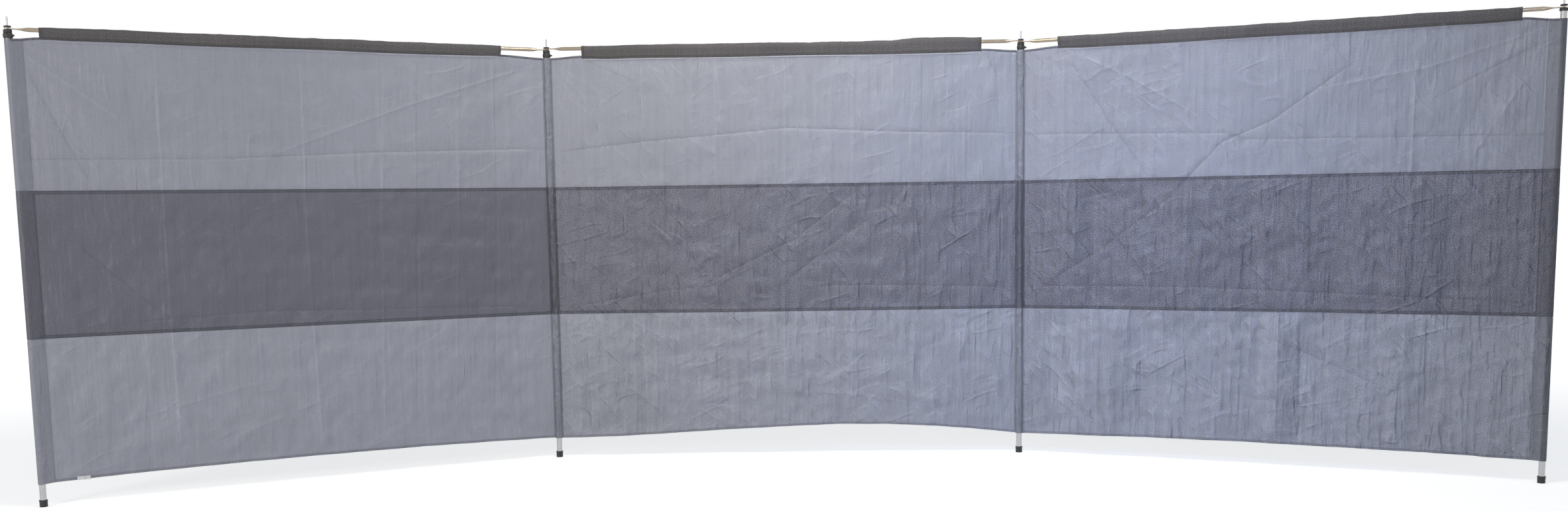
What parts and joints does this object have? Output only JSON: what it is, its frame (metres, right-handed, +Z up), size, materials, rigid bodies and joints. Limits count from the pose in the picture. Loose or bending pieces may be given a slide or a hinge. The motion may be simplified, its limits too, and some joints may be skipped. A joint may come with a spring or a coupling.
{
  "type": "beach windbreak",
  "caption": "Folding beach windbreak: banded cloth screen on capped steel uprights, with flattened-end rails in sleeves along the top and side bays that swing on the middle uprights.",
  "frame": {"origin": "on the ground below the middle of the overall box", "axes": "+Z up; +X along the middle bay to the right as seen from the front; -Y towards the front, where the side bays come forward"},
  "size_m": [4.674, 0.8176, 1.4852],
  "materials": {
    "pole_steel": "bright plated tube",
    "rail_steel": "bright plated tube",
    "pin_steel": "drawn wire",
    "black_plastic": "moulded",
    "light_cloth": "plain weave",
    "dark_cloth": "plain weave",
    "sleeve_cloth": "coarse weave",
    "tag_cloth": "satin ribbon, blank"
  },
  "bodies": {
    "middle_bay": {"middle_centre_band": "dark_cloth", "middle_left_centre_pocket": "dark_cloth", "middle_left_foot_cap": "black_plastic", "middle_left_guy_collar": "black_plastic", "middle_left_lower_pocket": "light_cloth", "middle_left_rail_cap": "black_plastic", "middle_left_rail_pin": "pin_steel", "middle_left_top_plug": "black_plastic", "middle_left_upper_pocket": "light_cloth", "middle_left_upright": "pole_steel", "middle_lower_band": "light_cloth", "middle_rail": "rail_steel", "middle_rail_sleeve": "sleeve_cloth", "middle_right_centre_pocket": "dark_cloth", "middle_right_foot_cap": "black_plastic", "middle_right_guy_collar": "black_plastic", "middle_right_lower_pocket": "light_cloth", "middle_right_rail_cap": "black_plastic", "middle_right_rail_pin": "pin_steel", "middle_right_top_plug": "black_plastic", "middle_right_upper_pocket": "light_cloth", "middle_right_upright": "pole_steel", "middle_upper_band": "light_cloth"},
    "left_bay": {"left_care_tag": "tag_cloth", "left_centre_band": "dark_cloth", "left_centre_pocket": "dark_cloth", "left_foot_cap": "black_plastic", "left_guy_collar": "black_plastic", "left_lower_band": "light_cloth", "left_lower_pocket": "light_cloth", "left_rail": "rail_steel", "left_rail_cap": "black_plastic", "left_rail_pin": "pin_steel", "left_rail_sleeve": "sleeve_cloth", "left_top_plug": "black_plastic", "left_upper_band": "light_cloth", "left_upper_pocket": "light_cloth", "left_upright": "pole_steel"},
    "right_bay": {"right_centre_band": "dark_cloth", "right_centre_pocket": "dark_cloth", "right_foot_cap": "black_plastic", "right_lower_band": "light_cloth", "right_lower_pocket": "light_cloth", "right_rail": "rail_steel", "right_rail_cap": "black_plastic", "right_rail_pin": "pin_steel", "right_rail_sleeve": "sleeve_cloth", "right_top_plug": "black_plastic", "right_upper_band": "light_cloth", "right_upper_pocket": "light_cloth", "right_upright": "pole_steel"}
  },
  "joints": [
    {"name": "left_bay_swing", "type": "hinge", "parent": "middle_bay", "child": "left_bay", "pos_m": [-0.86381, 0.39528, 0], "axis": [0, 0, -1], "range_deg": [-61.56, 168.44]},
    {"name": "right_bay_swing", "type": "hinge", "parent": "middle_bay", "child": "right_bay", "pos_m": [0.79619, 0.39528, 0], "axis": [0, 0, -1], "range_deg": [-112.97, 117.03]}
  ]
}
